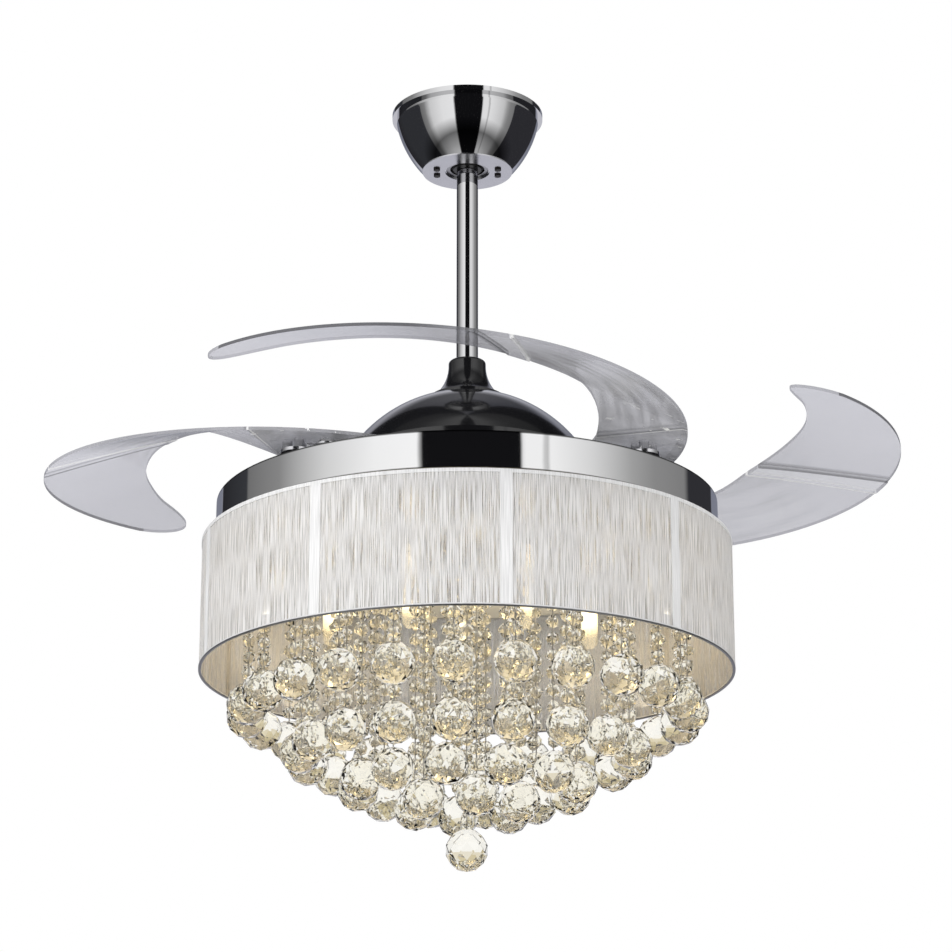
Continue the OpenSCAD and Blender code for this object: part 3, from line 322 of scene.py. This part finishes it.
# ---------------------------------------------------------------- shade
def inner_face(g):
    """1 where a face looks towards the fan's axis, else 0."""
    at = g.node("ShaderNodeTexCoord").outputs
    level = g.node("ShaderNodeMapping", {"vector_type": "VECTOR"}, Vector=at["Object"], Scale=(1, 1, 0))
    return g.math("LESS_THAN", g.dot(level.outputs[0], at["Normal"]), 0.0)


def around_shade(g):
    """Metres around the shade, and a little of the height, so that lines drift as they go up."""
    x, y, z = g.split(g.place())
    turn = g.scaled(g.math("ARCTAN2", y, x), 0.5 / math.pi, 0.5)
    return g.node("ShaderNodeCombineXYZ", X=g.times(turn, SHADE_ROUND),
                  Y=g.times(z, THREAD_DRIFT)).outputs[0]


def fine_lines(g, around):
    return g.noise(around, 2000.0, 1.0, 0.5, "2D")


def thread_paint(g):
    """Fine upright threads with clear gaps between them; inside the shade they are darker and warmer with
    painted shade and painted warm lamp light.
    """
    around = around_shade(g)
    fine = fine_lines(g, around)
    cover = g.scaled(g.noise(around, 170.0, 2.0, 0.5, "2D"), 0.08, fine)
    opaque = g.ramp(cover, [(0.4, grey(0.4)), (0.56, grey(0.93))])
    thread = g.ramp(fine, [(0.34, (0.3, 0.3, 0.31, 1)), (0.54, (0.85, 0.85, 0.855, 1))])
    side = g.times(g.math("ABSOLUTE", g.split(g.place())[0]), 1 / SHADE_R)
    # Painted shade and painted lamp light inside the shade: blue-grey in the middle, golden towards the left
    # and right.
    painted_inside_light = g.ramp(side, [
        (0.3, (0.3, 0.33, 0.4, 1)), (0.65, (0.42, 0.39, 0.33, 1)), (0.95, (0.5, 0.41, 0.24, 1))])
    colours = g.mix(inner_face(g), thread, g.mix(0.75, thread, painted_inside_light))
    fibre = g.shader("Principled", Base_Color=colours, Roughness=0.55, Sheen_Weight=0.5)
    cloth = g.mix_shader(0.25, fibre, g.shader("Translucent", Color=(0.85, 0.82, 0.76, 1)))
    return g.mix_shader(opaque, g.shader("Transparent"), cloth)


def strip_paint(g):
    """White tape that the threads' lines show through."""
    colours = g.ramp(fine_lines(g, around_shade(g)), [(0.34, grey(0.68)), (0.6, grey(0.9))])
    tape = g.shader("Principled", Base_Color=colours, Roughness=0.5)
    return g.mix_shader(0.8, g.shader("Transparent"), tape)


def film_paint(g):
    """Clear film that darkens at its outline."""
    tint = g.ramp(g.facing(0.5), [(0.9, (0.97, 0.97, 0.975, 1)), (0.97, (0.6, 0.6, 0.62, 1))])
    gloss = g.shader("Principled", Base_Color=(0.55, 0.56, 0.6, 1),
                     Roughness=g.scaled(g.noise(g.place(), 30), 0.1, 0.12))
    return g.mix_shader(0.16, g.shader("Transparent", Color=tint), gloss)


threads = material("threads", thread_paint)
strip_white = material("strip_white", strip_paint)
film = material("film_clear", film_paint)


# ---------------------------------------------------------------- blades
def folded_plan(g, n):
    """Place on blade n as it lies when folded, with its pivot on the X axis."""
    turned = g.mapped(g.place(), Location=(-PIVOT_R, 0, 0),
                      Rotation=(0, 0, -math.radians(FIRST_PIVOT + 90 * (n - 1))))
    return g.mapped(turned, Location=(PIVOT_R, 0, 0), Rotation=(0, 0, -math.radians(SWING)))


def past_line(g, flat, line):
    """Distance past a line across the blade, in metres, towards the root."""
    across, offset = line
    return g.math("SUBTRACT", g.dot(flat, across), offset)


def near_line(g, distance, stops):
    """Grey by distance past a line: stops in millimetres, within 25 of it."""
    return g.ramp(g.scaled(distance, 20.0, 0.5), [(0.5 + mm * 0.02, grey(v)) for mm, v in stops])


def blade_marks(g, n):
    """Where blade n has its lines, strip, streaks, haze, glints and cut edges: each mark is 0 to 1. The
    lines, glints and outer rim are painted shade and painted highlights.
    """
    plan = folded_plan(g, n)
    flat = g.mapped(plan, Scale=(1, 1, 0))
    strip_root, strip_tip = past_line(g, flat, STRIP_ROOT), past_line(g, flat, STRIP_TIP)
    bend = past_line(g, flat, BEND)
    x, y = g.split(flat)[:2]
    span = g.times(g.math("ARCTAN2", y, x), -1.0 / math.pi)
    radius = g.node("ShaderNodeVectorMath", {"operation": "LENGTH"}, i0=flat).outputs["Value"]

    root = g.ramp(g.scaled(bend, 10.0, 0.6), [(0.05, grey(0.0)), (0.6, grey(1.0))])
    neck = g.ramp(g.scaled(bend, 5.0, 1.0), [
        (0.05, grey(0.0)), (0.3, grey(1.0)), (0.9, grey(1.0)), (1.0, grey(0.4))])
    along = g.node("ShaderNodeCombineXYZ", X=g.times(radius, 90.0), Y=g.times(span, 5.0)).outputs[0]
    streak = g.times(g.ramp(g.noise(along, 1.0), [(0.46, grey(0.0)), (0.62, grey(1.0))]), neck)
    haze = g.noise(g.mapped(plan, Scale=(1.0, 2.2, 1.0)), 18, 4)
    ripple = g.noise(g.mapped(plan, Scale=(1.0, 1.8, 1.0)), 34, 5, 0.65)

    step = [(-1.6, 0), (-1.2, 1), (1.2, 1), (1.6, 0)]
    steps = g.larger(near_line(g, strip_tip, step), near_line(g, strip_root, step))
    up = g.split(g.node("ShaderNodeNewGeometry").outputs["Normal"])[2]
    upright = g.ramp(g.math("ABSOLUTE", up), [(0.55, grey(1.0)), (0.8, grey(0.0))])
    edge = g.math("SUBTRACT", upright, steps, clamp=True)
    outer = g.times(g.math("GREATER_THAN", radius, BLADE_EDGE_R - 0.0008),
                    g.ramp(span, [(0.48, grey(0.0)), (0.58, grey(1.0))]))
    return {
        "root": root,
        "neck": neck,
        "streak": streak,
        # A darker haze in patches near the root.
        "root_haze": g.times(g.ramp(haze, [(0.42, grey(0.0)), (0.6, grey(1.0))]), root),
        "ripple": ripple,
        # Painted highlights: white glints near the root.
        "painted_glint": g.times(g.ramp(ripple, [(0.6, grey(0.0)), (0.63, grey(1.0))]), root),
        "strip": g.times(g.math("LESS_THAN", strip_root, 0.0), g.math("GREATER_THAN", strip_tip, 0.0)),
        # Painted shade along the strip's tip side and the bend; painted highlights along the strip's root
        # side and the bend.
        "painted_shade_line": g.larger(near_line(g, strip_tip, [(-7, 0), (-1, 0.8), (0.2, 1), (1.2, 0)]),
                              near_line(g, bend, [(-3, 0), (-1, 0.7), (0.1, 0.7), (0.6, 0)])),
        "painted_highlight_line": g.larger(near_line(g, strip_root, [(-1.4, 0), (-0.4, 0.9), (1.2, 0.9), (3, 0)]),
                               near_line(g, bend, [(0.3, 0), (0.8, 0.8), (2, 0.8), (3, 0)])),
        "edge": edge,
        # Painted shade along the outer cut edge towards the tip.
        "rim": g.times(outer, edge),
    }


def blade_tint(g, n, cloud, mark):
    """Colour that light takes on through blade n, with painted shade and painted highlights along its lines
    and rim.
    """
    tint = g.mix(cloud, (0.82, 0.82, 0.85, 1), (0.88, 0.88, 0.905, 1))
    tint = g.mix(g.times(mark["root_haze"], 0.7), tint, (0.45, 0.45, 0.44, 1))
    # Painted shade on the neck and its streaks, by how much each blade gets.
    tint = g.mix(g.times(mark["neck"], 0.35 * NECK_SHADE[n]), tint, (0.6, 0.6, 0.6, 1))
    tint = g.mix(g.times(mark["streak"], 0.6 * NECK_SHADE[n]), tint, (0.35, 0.35, 0.35, 1))
    tint = g.mix(g.times(mark["strip"], 0.5), tint, (0.93, 0.93, 0.95, 1))
    # Painted shade and painted highlights along the lines, then the cut edges, then painted shade on the
    # outer rim.
    tint = g.mix(g.times(mark["painted_shade_line"], 0.7), tint, (0.3, 0.3, 0.31, 1))
    tint = g.mix(mark["painted_highlight_line"], tint, (0.98, 0.98, 0.98, 1))
    tint = g.mix(mark["edge"], tint, (0.6, 0.6, 0.63, 1))
    return g.mix(mark["rim"], tint, (0.2, 0.2, 0.21, 1))


def blade_skin(g, mark):
    """Colour of a blade's gloss, which shows most at its edges, lines and glints: painted shade along its
    dark lines and outer rim, painted highlights along its light lines and glints.
    """
    skin = g.mix(mark["edge"], (0.62, 0.62, 0.66, 1), (0.42, 0.42, 0.44, 1))
    skin = g.mix(g.larger(mark["painted_shade_line"], mark["rim"]), skin, (0.16, 0.16, 0.17, 1))
    return g.mix(g.larger(mark["painted_glint"], mark["painted_highlight_line"]), skin, (1.0, 1.0, 0.98, 1))


def blade_paint(n):
    """Clear plastic with a darker haze near the root: what's behind shows through, the cut edges are darker,
    and painted shade, painted highlights and painted glints lie on the neck, lines and rim.
    """
    def paint(g):
        cloud = g.noise(g.place(), 7, 4)
        mark = blade_marks(g, n)
        clear = g.shader("Transparent", Color=blade_tint(g, n, cloud, mark))
        wave = g.times(mark["ripple"], g.scaled(mark["root"], 0.9, 0.1))
        body = g.shader("Principled", Base_Color=blade_skin(g, mark), Roughness=g.scaled(cloud, 0.06, 0.05),
                        IOR=1.49, Normal=g.bump(wave, 0.5, 0.004))
        gloss = g.math("ADD", g.scaled(g.facing(0.3), 0.3, 0.16), g.times(mark["root"], 0.2))
        # More gloss at the painted glints and along the painted lines.
        gloss = g.math("ADD", gloss, g.scaled(mark["painted_glint"], 0.5, g.times(mark["edge"], 0.12)))
        gloss = g.scaled(g.larger(mark["painted_shade_line"], mark["painted_highlight_line"]), 0.25, gloss, clamp=True)
        return g.mix_shader(gloss, clear, body)
    return paint


blade_clear = {n: material(f"blade_clear_{n}", blade_paint(n)) for n in BLADES}


# ---------------------------------------------------------------- cut glass
def cut_glass(name, colour):
    def paint(g):
        colours = g.mix(g.noise(g.place(), 55, 2), rgba(colour), rgba(colour, 0.97))
        return g.shader("Principled", Base_Color=colours, Roughness=0.0, Transmission_Weight=1.0, IOR=1.52)
    return material(name, paint)


# The glass is tinted warm: painted lamp light, as the crystals are clear.
crystal = cut_glass("cut_crystal", (0.985, 0.97, 0.91))
bead_glass = cut_glass("bead_crystal", (0.985, 0.955, 0.86))

# ---------------------------------------------------------------- CAD nodes and their finish
finish = {
    zinc: ["ceiling_bracket", "rod_pins", "yoke_screws", "dome_screws", "shaft_nut", "drum_screws",
           "tray_screws", "pivot_pins", "pivot_nuts", "return_springs", "pan_spacers"],
    dark_screw: ["canopy_screws"],
    band_chrome: ["chrome_band"],
    chrome: ["canopy", "downrod", "centre_cap"] + [f"blade_screws_{n}" for n in BLADES],
    plate_metal: ["canopy_cover_plate"],
    ball_black: ["hanger_ball"],
    yoke_black: ["yoke"],
    ground: ["motor_shaft", "bearing_inner_races", "bearing_outer_races", "bearing_balls"],
    black_gloss: ["motor_dome", "coupling_cover"],
    core_varnish: ["stator_core"],
    copper: ["stator_coils"],
    cast_alu: ["rotor_top", "rotor_bottom"],
    magnet: ["rotor_ring"],
    tray_paint: ["blade_tray", "sync_retainer", "drum_carrier"],
    gear_plastic: ["sync_ring"],
    arm_metal: [f"blade_arm_{n}" for n in BLADES],
    pan_mirror: ["light_pan"],
    white_plastic: ["driver_boxes"],
    socket_white: ["lamp_sockets"],
    bulb_lit: ["bulbs"],
    film: ["shade_film"],
    threads: ["shade_threads"],
    strip_white: ["shade_strips", "shade_top_hoop"],
    hoop_grey: ["shade_bottom_hoop"],
}
for mat, names in finish.items():
    for name in names:
        dress(name, mat)
for n, mat in blade_clear.items():
    dress(f"blade_{n}", mat).visible_glossy = False


# ---------------------------------------------------------------- crystals and beads
def lattice_ball(radius, rows, around, pose=Matrix()):
    """A cut ball: staggered rows of points, with three-cornered facets between them."""
    first_angle = 0.2
    verts = [(0, 0, radius)]
    for i in range(1, rows):
        lat = math.pi * i / rows
        for k in range(around):
            a = 2 * math.pi * (k + 0.5 * (i % 2)) / around + first_angle
            verts.append((radius * math.sin(lat) * math.cos(a), radius * math.sin(lat) * math.sin(a),
                          radius * math.cos(lat)))
    verts.append((0, 0, -radius))

    faces = []
    last = len(verts) - 1
    last_row = 1 + (rows - 2) * around
    for k in range(around):
        m = (k + 1) % around
        faces.append((0, 1 + k, 1 + m))
        faces.append((last, last_row + m, last_row + k))
    for i in range(rows - 2):
        p, q = 1 + i * around, 1 + (i + 1) * around
        for k in range(around):
            m = (k + 1) % around
            if i % 2:
                faces += [(p + k, q + k, p + m), (p + m, q + k, q + m)]
            else:
                faces += [(p + k, q + m, p + m), (p + k, q + k, q + m)]
    return [tuple(pose @ Vector(p)) for p in verts], faces


def tumbled(scale=1.0):
    """Pose of a crystal that hangs at a chance angle."""
    turn = Matrix.Rotation(random.uniform(0, 6.28), 4, "Z")
    tip = Matrix.Rotation(random.uniform(0, 3.14), 4, "X")
    return turn @ tip @ Matrix.Scale(scale, 4)


def join(name, parts, mat, replaced=()):
    """One piece on the hanger, from parts of ((points, faces), place)."""
    verts, faces = [], []
    for (points, sides), at in parts:
        base = len(verts)
        verts += [(at[0] + x, at[1] + y, at[2] + z) for x, y, z in points]
        faces += [tuple(base + i for i in side) for side in sides]
    mesh = bpy.data.meshes.new(name)
    mesh.from_pydata(verts, [], faces)
    mesh.validate()
    mesh.update()
    mesh.materials.append(mat)
    o = bpy.data.objects.new(name, mesh)
    scene.collection.objects.link(o)
    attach(o, "hanger")
    if replaced:
        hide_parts(*replaced)


def ring_places(k):
    """Where ring k's strands hang."""
    for i in range(6 * k):
        a = math.radians(PHASES[k] + 60 * i / k)
        yield k * RING_STEP * math.cos(a), k * RING_STEP * math.sin(a)


def cut_ball(pose=Matrix()):
    return lattice_ball(BALL_R, rows=7, around=9, pose=pose)


def balls_of(rings):
    return [(cut_ball(tumbled()), (x, y, PAN_Z - HANGS[k])) for k in rings for x, y in ring_places(k)]


def wire_pin(length):
    """Wire that hangs down from its place."""
    sides = 6
    angles = [2 * math.pi * k / sides for k in range(sides)]
    verts = [(WIRE_R * math.cos(a), WIRE_R * math.sin(a), z) for z in (0, -length) for a in angles]
    faces = [(k, sides + k, sides + (k + 1) % sides, (k + 1) % sides) for k in range(sides)]
    return verts, faces


def bead():
    """A glass chip of chance size, turn and shape."""
    pose = tumbled(random.uniform(0.92, 1.08))
    points, faces = lattice_ball(BEAD_R, rows=4, around=5, pose=pose)
    return [tuple(c * random.uniform(0.84, 1.08) for c in p) for p in points], faces


def strand_beads(x, y, top, length):
    count = round((length - STRAND_END) / BEAD_PITCH)
    pitch = (length - STRAND_END) / count
    return [(bead(), (x, y, top - pitch * (i + 0.5))) for i in range(count)]


join("outer_balls", balls_of([4]), crystal, ["outer_crystals"])
join("middle_balls", balls_of([3]), crystal, ["middle_crystals"])
join("inner_balls", balls_of([2, 1]), crystal, ["inner_crystals"])
finial = (cut_ball(), (0, 0, PAN_Z - FINIAL_HANG))
join("finial_ball", [finial], crystal, ["finial_crystal"])

strands = [(x, y, PAN_Z, HANGS[k] - BALL_R + WIRE_IN_BALL) for k in HANGS for x, y in ring_places(k)]
strands.append((0, 0, PAN_Z - CAP_H, FINIAL_HANG - CAP_H - BALL_R + WIRE_IN_BALL))
beads = [one for strand in strands for one in strand_beads(*strand)]
pins = [(wire_pin(length), (x, y, top)) for x, y, top, length in strands]
join("cut_beads", beads, bead_glass, ["bead_strands"])
join("bead_pins", pins, zinc)

# ---------------------------------------------------------------- world and lights
BLACK = (0.006, 0.006, 0.007, 1)
DARK = (0.03, 0.03, 0.035, 1)
WALL = (0.8, 0.8, 0.87, 1)


def studio_turn(g, east, north, height):
    """Direction around the studio, 0.5 being behind the camera, and how far off that it is, 0 to 0.5.

    Below the horizon the two windows are narrower, so their outer dark walls start sooner.
    """
    around = g.scaled(g.math("ARCTAN2", east, g.times(north, -1.0)), 0.5 / math.pi, 0.5)
    off = g.math("SUBTRACT", around, 0.5)
    far = g.math("ABSOLUTE", off)
    low = g.scaled(height, -6.0, 1.3, clamp=True)
    kept, most, growth = 0.17, 0.36, 2.0
    extra = g.times(g.larger(g.math("SUBTRACT", far, kept), 0.0), growth)
    grown = g.larger(far, g.math("MINIMUM", g.scaled(extra, low, far), most))
    return g.scaled(g.math("SIGN", off), grown, 0.5), far


def studio_walls(g, around):
    """Two windows with a dark post between them, dark walls beside them and a pale wall opposite."""
    stops = [
        (-180, WALL), (-151, (0.55, 0.55, 0.62, 1)), (-150, (0.02, 0.02, 0.023, 1)),
        (-119, (0.04, 0.042, 0.048, 1)), (-118, grey(0.17)), (-94, grey(0.26)), (-66, grey(0.7)),
        (-42, grey(0.95)), (-22, grey(1.0)), (-20.5, BLACK),
        (24, BLACK), (25.5, grey(0.95)), (34, grey(0.95)), (36, grey(0.4)), (38, grey(0.95)),
        (58, grey(0.72)), (80, grey(0.38)), (94, grey(0.27)), (117, grey(0.22)), (121, DARK),
        (150, DARK), (151.5, (0.4, 0.41, 0.5, 1)), (180, WALL),
    ]
    return g.ramp(around, [(0.5 + degrees / 360, colour) for degrees, colour in stops])


def paint_world(g):
    """White to the camera, plain to matt surfaces, a studio to mirrors and a warm room through glass."""
    east, north, height = g.split(g.node("ShaderNodeTexCoord").outputs["Generated"])
    rise = g.scaled(height, 0.5, 0.5)
    around, far = studio_turn(g, east, north, height)
    level = g.ramp(rise, [
        (0.0, grey(0.75)), (0.12, grey(0.35)), (0.2, grey(0.16)), (0.32, grey(1.0)), (0.8, grey(1.0)),
        (0.88, grey(0.25)), (1.0, grey(0.6))])
    behind = g.ramp(far, [(0.415, grey(0.0)), (0.42, grey(1.0))])
    above = g.ramp(rise, [(0.5, grey(0.0)), (0.6, grey(1.0)), (0.72, grey(1.0)), (0.8, grey(0.0))])
    room = g.mix(g.times(behind, above), g.mix(1.0, studio_walls(g, around), level, "MULTIPLY"),
                 (0.2, 0.21, 0.26, 1))
    through = g.ramp(rise, [
        (0.0, (0.95, 0.95, 0.98, 1)), (0.3, grey(1.0)), (0.6, grey(1.0)), (0.68, (0.7, 0.62, 0.42, 1)),
        (0.85, (0.4, 0.34, 0.2, 1)), (1.0, (0.7, 0.62, 0.45, 1))])

    def background(colour, strength=1.0):
        return g.node("ShaderNodeBackground", Color=colour, Strength=strength).outputs[0]

    ray = g.node("ShaderNodeLightPath").outputs
    light = g.mix_shader(ray["Is Glossy Ray"], background(grey(1.0), 0.85), background(room))
    light = g.mix_shader(ray["Is Transmission Ray"], light, background(through))
    return g.mix_shader(ray["Is Camera Ray"], light, background(grey(1.0)))


scene.world = bpy.data.worlds.new("studio")
scene.world.use_nodes = True
g = Graph(scene.world.node_tree)
g.node("ShaderNodeOutputWorld", Surface=paint_world(g))


def area_light(name, place, target, size, power, colour=(1, 1, 1)):
    data = bpy.data.lights.new(name, "AREA")
    data.shape = "SQUARE"
    data.size = size
    data.energy = power
    data.color = colour
    o = bpy.data.objects.new(name, data)
    o.location = place
    o.rotation_euler = (Vector(target) - Vector(place)).to_track_quat("-Z", "Y").to_euler()
    o.visible_glossy = False
    o.visible_camera = False
    o.visible_transmission = False
    scene.collection.objects.link(o)
    return o


area_light("key", place=(-2.2, -2.4, 0.6), target=(0, 0, -0.4), size=1.6, power=68)
area_light("fill", place=(2.4, -1.8, -1.2), target=(0, 0, -0.4), size=1.8, power=22)

# The lamps' glow: one light shines down from the pan, one up on it
lamp_glow = area_light("lamp_glow", place=(0, 0, PAN_Z - 0.012), target=(0, 0, -2), size=0.3, power=1.5,
                       colour=(1.0, 0.82, 0.55))
pan_glow = area_light("pan_glow", place=(0, 0, PAN_Z - 0.11), target=(0, 0, 2), size=0.36, power=1.0,
                      colour=(1.0, 0.88, 0.66))
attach(lamp_glow, "hanger")
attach(pan_glow, "hanger")


# ---------------------------------------------------------------- floor
def floor_paint(g):
    """Pale floor, half lit to the camera so that it keeps a faint shadow."""
    matt = g.shader("Diffuse", Color=g.mix(g.noise(g.place(), 3), grey(0.86), grey(0.9)))
    glow = g.node("ShaderNodeEmission", Color=grey(1.0), Strength=1.0).outputs[0]
    seen = g.node("ShaderNodeLightPath").outputs["Is Camera Ray"]
    return g.mix_shader(g.times(seen, 0.5), matt, glow)


def add_floor(half, z):
    mesh = bpy.data.meshes.new("floor")
    corners = [(-half, -half, z), (half, -half, z), (half, half, z), (-half, half, z)]
    mesh.from_pydata(corners, [], [(0, 1, 2, 3)])
    mesh.materials.append(material("floor", floor_paint))
    floor = bpy.data.objects.new("floor", mesh)
    scene.collection.objects.link(floor)
    floor.visible_glossy = False
    floor.visible_transmission = False


add_floor(half=14, z=-6)
